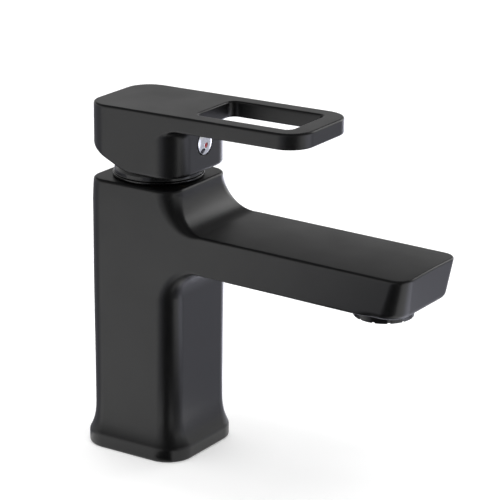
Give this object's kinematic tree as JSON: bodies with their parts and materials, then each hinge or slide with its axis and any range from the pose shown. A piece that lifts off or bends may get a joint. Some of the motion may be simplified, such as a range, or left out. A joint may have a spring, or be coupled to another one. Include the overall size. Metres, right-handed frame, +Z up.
{
  "type": "bathroom mixer faucet",
  "caption": "Single-lever basin mixer: square column on a flared base, flat forward spout with aerator, and a lever handle with a rectangular finger opening over a ceramic-disc cartridge.",
  "frame": {"origin": "centre of the base on the deck plane, over the deck hole", "axes": "+Z up along the column; the spout and the lever point along -Y, towards the user; the hot side is -X"},
  "size_m": [0.0474, 0.1523, 0.1476],
  "materials": {
    "black_coat": "matte black powder coat with a faint satin sheen on cast brass and zinc",
    "black_collar": "satin black electroplated brass, smoother than the body",
    "aerator_black": "satin black plated brass",
    "brass": "machined",
    "steel": "machined stainless steel",
    "chrome_plug": "polished chrome",
    "cartridge_plastic": "moulded off-white acetal",
    "disc_ceramic": "lapped alumina",
    "rubber": "black nitrile rubber",
    "red_enamel": "gloss red mark",
    "blue_enamel": "gloss dark blue mark"
  },
  "bodies": {
    "body": {"body_casting": "black_coat", "base_gasket": "rubber", "collar_ring": "black_collar", "collar_seal": "rubber", "lock_nut": "brass", "cartridge_base": "cartridge_plastic", "hot_port_seal": "rubber", "cold_port_seal": "rubber", "outlet_port_seal": "rubber", "fixed_disc": "disc_ceramic", "cartridge_housing": "cartridge_plastic", "aerator_shell": "aerator_black", "aerator_screen": "steel", "aerator_insert": "cartridge_plastic", "aerator_washer": "rubber"},
    "spindle": {"spindle_guide": "cartridge_plastic", "pivot_pin": "steel"},
    "lever": {"stem": "steel", "handle": "black_coat", "handle_screw": "steel", "indicator_plug": "chrome_plug", "hot_mark": "red_enamel", "cold_mark": "blue_enamel"},
    "slider": {"moving_disc": "disc_ceramic", "disc_carrier": "cartridge_plastic"}
  },
  "joints": [
    {"name": "mixing_swivel", "type": "hinge", "parent": "body", "child": "spindle", "pos_m": [0, 0, 0.1122], "axis": [0, 0, 1], "range_deg": [-45, 45]},
    {"name": "lever_lift", "type": "hinge", "parent": "spindle", "child": "lever", "pos_m": [0, 0, 0.1122], "axis": [-1, 0, 0], "range_deg": [0, 24]},
    {"name": "disc_slide", "type": "slide", "parent": "spindle", "child": "slider", "axis": [0, -1, 0], "range_m": [0, 0.0028]}
  ],
  "couplings": [
    {"joint": "disc_slide", "follows": "lever_lift", "m_per_rad": 0.0064}
  ]
}
